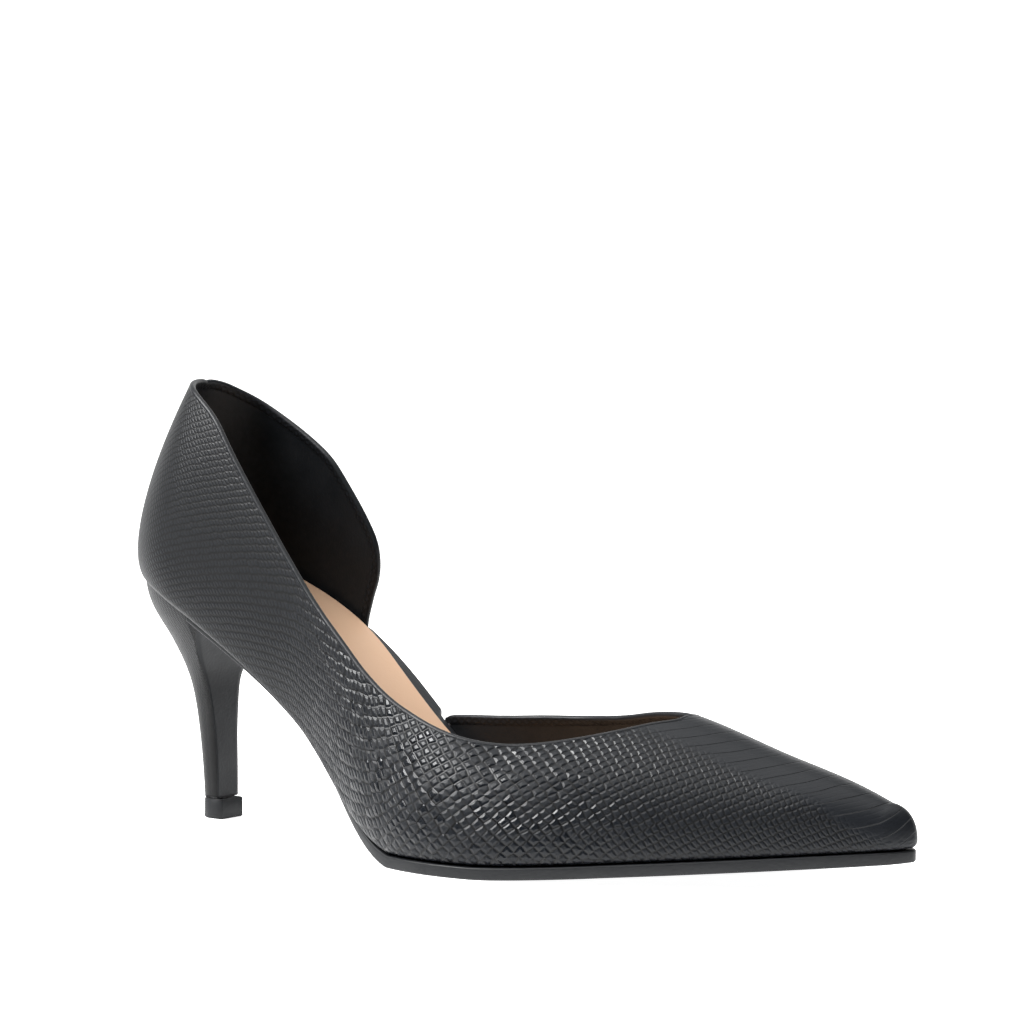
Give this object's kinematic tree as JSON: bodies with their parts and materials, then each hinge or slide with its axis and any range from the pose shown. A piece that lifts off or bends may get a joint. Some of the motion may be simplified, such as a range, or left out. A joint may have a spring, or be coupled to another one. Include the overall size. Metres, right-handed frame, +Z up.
{
  "type": "high heel shoe",
  "caption": "Closed pointed-toe court shoe with a slim high heel and one side cut away down to the insole, in black snake-embossed leather with a tan sock.",
  "frame": {"origin": "on the floor, at the middle of the heel's top piece", "axes": "+X along the shoe towards the toe, +Y towards the inner side of the foot, +Z up"},
  "size_m": [0.2495, 0.0871, 0.1317],
  "materials": {
    "embossed_leather": "black leather with an embossed snake scale, satin gloss",
    "board_binding": "smooth black edge of the insole board",
    "sock_lining": "soft matt tan sock",
    "sole_rubber": "matt black moulded sole",
    "heel_cover": "heel covered in the same embossed leather, smooth on the breast",
    "heel_tip": "hard matt black top piece"
  },
  "bodies": {
    "root": {"upper": "embossed_leather", "insole_board": "board_binding", "sock": "sock_lining", "outsole": "sole_rubber", "heel": "heel_cover", "top_piece": "heel_tip"}
  },
  "joints": []
}
